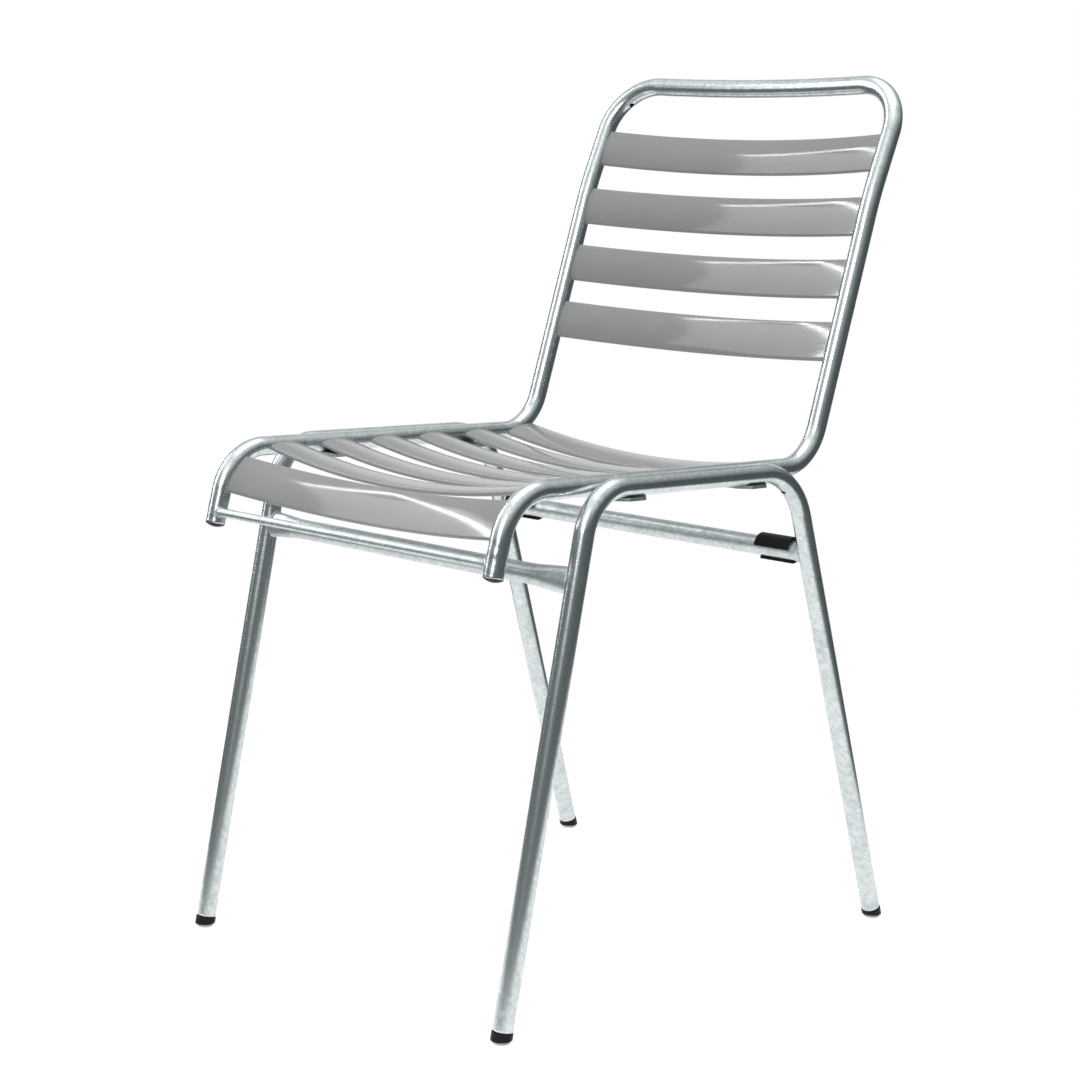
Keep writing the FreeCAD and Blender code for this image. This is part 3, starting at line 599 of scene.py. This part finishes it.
def pale_floor():
    """Round level floor, evenly pale."""
    material, node = new_material("pale_floor")
    where = node("TexCoord")
    cloud = node("TexNoise", {"Vector": where.outputs["Object"], "Scale": 1.5, "Detail": 2.0})
    colour = ramp(node, cloud.outputs["Fac"], [(0.3, (0.24, 0.24, 0.24)), (0.7, (0.26, 0.26, 0.26))])
    shader = node("BsdfPrincipled", {"Base Color": colour, "Roughness": 0.9, "Specular IOR Level": 0.0,
                                     "Emission Color": (1, 1, 1, 1), "Emission Strength": 0.85})
    node("OutputMaterial", {"Surface": shader.outputs[0]})
    radius, count = 0.85, 96
    turn = np.linspace(0, 2 * np.pi, count, endpoint=False)
    ring = [(radius * math.cos(a), radius * math.sin(a), 0) for a in turn]
    mesh = bpy.data.meshes.new("floor")
    mesh.from_pydata(ring, [], [tuple(range(count))])
    mesh.materials.append(material)
    floor = bpy.data.objects.new("floor", mesh)
    bpy.context.scene.collection.objects.link(floor)


def studio_room():
    """Room light: white to the eye; to the metal it is dim round the horizon, paler overhead and behind.

    The glow behind the chair grows with the dot product of the direction and the one away from the camera.
    """
    world = bpy.data.worlds.new("studio")
    bpy.context.scene.world = world
    world.use_nodes = True
    node = node_maker(world.node_tree)
    where = node("TexCoord").outputs["Generated"]
    split = node("SeparateXYZ", {0: where})
    shade = ramp(node, split.outputs["Z"], [(0.0, (0.10, 0.112, 0.117)), (0.15, (0.07, 0.079, 0.082)),
                                            (0.40, (0.31, 0.33, 0.335)), (0.8, (0.73, 0.75, 0.755))])
    fore = node("MapRange", {"Value": split.outputs["Y"], "From Min": -1.0, "To Min": 1.6, "To Max": 0.9})
    room = node("Background", {"Color": shade, "Strength": fore.outputs[0]})
    toward = node("VectorMath", {0: where, 1: (-0.69, 0.71, -0.05)}, operation="DOT_PRODUCT")
    glow = node("MapRange", {"Value": toward.outputs["Value"], "From Min": 0.80, "From Max": 0.93})
    behind = node("Background", {"Color": (0.8, 0.8, 0.8, 1), "Strength": glow.outputs[0]})
    both = node("AddShader", {0: room.outputs[0], 1: behind.outputs[0]})
    seen = node("Background", {"Color": (1, 1, 1, 1), "Strength": 1.0})
    ray = node("LightPath")
    mix = node("MixShader", {0: ray.outputs["Is Camera Ray"], 1: both.outputs[0], 2: seen.outputs[0]})
    node("OutputWorld", {"Surface": mix.outputs[0]})


def lamp_panel(name, low, high, width, radiance, distance=3.0, aim=(0.0, 0.2, 0.62)):
    """Soft panel, in metres, with its middle line between two directions from an aim, facing the aim."""
    aim = Vector(aim)
    low, high = Vector(low).normalized() * distance, Vector(high).normalized() * distance
    out = (low + high).normalized()
    along = (high - low).normalized()
    along = (along - out * along.dot(out)).normalized()
    light = bpy.data.lights.new(name, "AREA")
    light.shape = "RECTANGLE"
    light.size, light.size_y = width, (high - low).length
    light.energy = radiance * math.pi * light.size * light.size_y
    panel = bpy.data.objects.new(name, light)
    turn = Matrix((along.cross(out), along, out)).transposed().to_4x4()
    panel.matrix_world = Matrix.Translation(aim + (low + high) / 2) @ turn
    bpy.context.scene.collection.objects.link(panel)


def photo_camera():
    """Camera at the photograph's place."""
    yaw, pitch, roll = (math.radians(v) for v in (44.134, -8.911, 1.508))
    ahead = Vector((-math.sin(yaw) * math.cos(pitch), math.cos(yaw) * math.cos(pitch), math.sin(pitch)))
    level = Vector((math.cos(yaw), math.sin(yaw), 0))
    upright = level.cross(ahead)
    right = level * math.cos(roll) + upright * math.sin(roll)
    up = upright * math.cos(roll) - level * math.sin(roll)
    data = bpy.data.cameras.new("photo_view")
    picture = 1080.0
    data.sensor_width = 36.0
    data.lens = 2291.23 * data.sensor_width / picture
    data.shift_x = (picture / 2 - 539.6) / picture
    data.shift_y = (534.0 - picture / 2) / picture
    camera = bpy.data.objects.new("photo_view", data)
    turn = Matrix((right, up, -ahead)).transposed().to_4x4()
    camera.matrix_world = Matrix.Translation((1.46965, -1.54614, 0.70856)) @ turn
    bpy.context.scene.collection.objects.link(camera)
    bpy.context.scene.camera = camera


SLAT_END = (0.150, 0.215, 0.64)

pale_floor()
studio_room()
lamp_panel("left_softbox", (-0.72, -0.69, 0.03), (-0.74, -0.36, 0.57), 1.1, 1.9)
lamp_panel("left_softbox_bright_edge", (-0.84, -0.53, 0.0), (-0.79, -0.23, 0.57), 0.07, 15.0, aim=SLAT_END)
lamp_panel("left_softbox_bright_top", (-0.79, -0.22, 0.57), (-0.66, -0.48, 0.58), 0.07, 12.0, aim=SLAT_END)
lamp_panel("front_softbox", (0.36, -0.92, 0.14), (0.30, -0.76, 0.58), 0.9, 7.0)
lamp_panel("top_softbox", (0.0, -0.5, 1.0), (0.0, 0.5, 1.0), 2.2, 1.15, 2.6)
photo_camera()

bpy.context.scene.view_settings.view_transform = "Standard"
bpy.context.view_layer.update()
